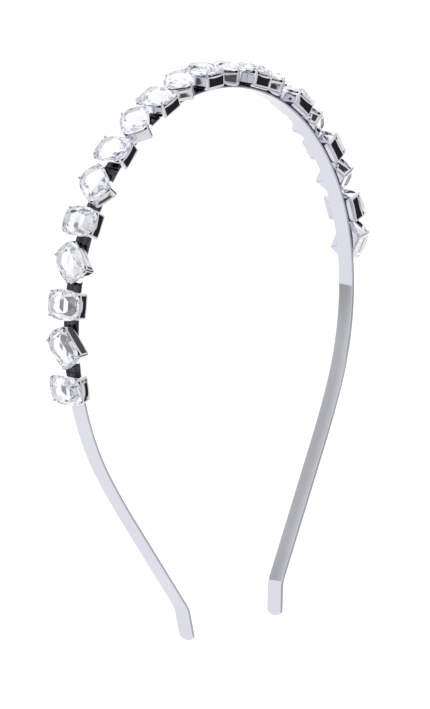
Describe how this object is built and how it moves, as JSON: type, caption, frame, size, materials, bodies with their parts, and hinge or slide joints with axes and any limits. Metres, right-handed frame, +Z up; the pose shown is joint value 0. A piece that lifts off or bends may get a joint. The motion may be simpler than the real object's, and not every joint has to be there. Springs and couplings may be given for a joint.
{
  "type": "crystal headband",
  "caption": "Narrow metal arch headband with a row of clear cushion-cut stones in claw settings on its outside and feet turned outward.",
  "frame": {"origin": "centre of the bounding box on the surface that the headband lies on", "axes": "lies on its side: +Z up across the strip, +Y from the feet to the crown, +X to the end of the row whose settings sit lowest"},
  "size_m": [0.123, 0.1532, 0.0132],
  "materials": {
    "metal": "bright mirror-like silver plating",
    "crystal": "clear polished facets over a mirrored back"
  },
  "bodies": {
    "root": {"band": "metal", "stone_01": "crystal", "stone_02": "crystal", "stone_03": "crystal", "stone_04": "crystal", "stone_05": "crystal", "stone_06": "crystal", "stone_07": "crystal", "stone_08": "crystal", "stone_09": "crystal", "stone_10": "crystal", "stone_11": "crystal", "stone_12": "crystal", "stone_13": "crystal", "stone_14": "crystal", "stone_15": "crystal", "stone_16": "crystal", "stone_17": "crystal", "stone_18": "crystal", "stone_19": "crystal", "stone_20": "crystal"}
  },
  "joints": []
}
